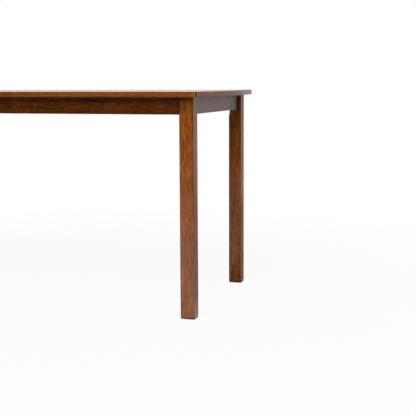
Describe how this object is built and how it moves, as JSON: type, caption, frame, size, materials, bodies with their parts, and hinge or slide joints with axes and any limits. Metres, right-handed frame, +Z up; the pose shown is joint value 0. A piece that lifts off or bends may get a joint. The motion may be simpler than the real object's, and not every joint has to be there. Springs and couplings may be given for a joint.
{
  "type": "dining table",
  "caption": "Wooden dining table: a thin top with gently bowed ends on straight square corner legs, slim set-back aprons, and legs bolted to diagonal corner blocks.",
  "frame": {"origin": "on the floor under the middle of the top", "axes": "+X along the long sides to the right as the picture shows the table, +Y from the front long side to the back one, +Z up"},
  "size_m": [1.3, 0.7, 0.75],
  "materials": {
    "top_veneer": "walnut-brown veneer, satin lacquer",
    "lipping_wood": "solid wood stained walnut brown, satin lacquer",
    "frame_wood": "solid wood stained walnut brown, satin lacquer",
    "bare_wood": "unstained planed softwood",
    "zinc_steel": "zinc plated",
    "glide_nylon": "moulded brown nylon"
  },
  "bodies": {
    "root": {"top_core_panel": "top_veneer", "lipping_left": "lipping_wood", "lipping_right": "lipping_wood", "lipping_front": "lipping_wood", "lipping_back": "lipping_wood", "apron_front": "frame_wood", "apron_back": "frame_wood", "apron_left": "frame_wood", "apron_right": "frame_wood", "centre_rail": "bare_wood", "leg_front_left": "frame_wood", "corner_block_front_left": "bare_wood", "hanger_bolt_front_left": "zinc_steel", "bolt_washer_front_left": "zinc_steel", "bolt_nut_front_left": "zinc_steel", "foot_glide_front_left": "glide_nylon", "leg_front_right": "frame_wood", "corner_block_front_right": "bare_wood", "hanger_bolt_front_right": "zinc_steel", "bolt_washer_front_right": "zinc_steel", "bolt_nut_front_right": "zinc_steel", "foot_glide_front_right": "glide_nylon", "leg_back_right": "frame_wood", "corner_block_back_right": "bare_wood", "hanger_bolt_back_right": "zinc_steel", "bolt_washer_back_right": "zinc_steel", "bolt_nut_back_right": "zinc_steel", "foot_glide_back_right": "glide_nylon", "leg_back_left": "frame_wood", "corner_block_back_left": "bare_wood", "hanger_bolt_back_left": "zinc_steel", "bolt_washer_back_left": "zinc_steel", "bolt_nut_back_left": "zinc_steel", "foot_glide_back_left": "glide_nylon", "glide_nails": "zinc_steel", "block_side_screws": "zinc_steel", "block_top_screws": "zinc_steel", "apron_top_screws": "zinc_steel", "rail_top_screws": "zinc_steel"}
  },
  "joints": []
}
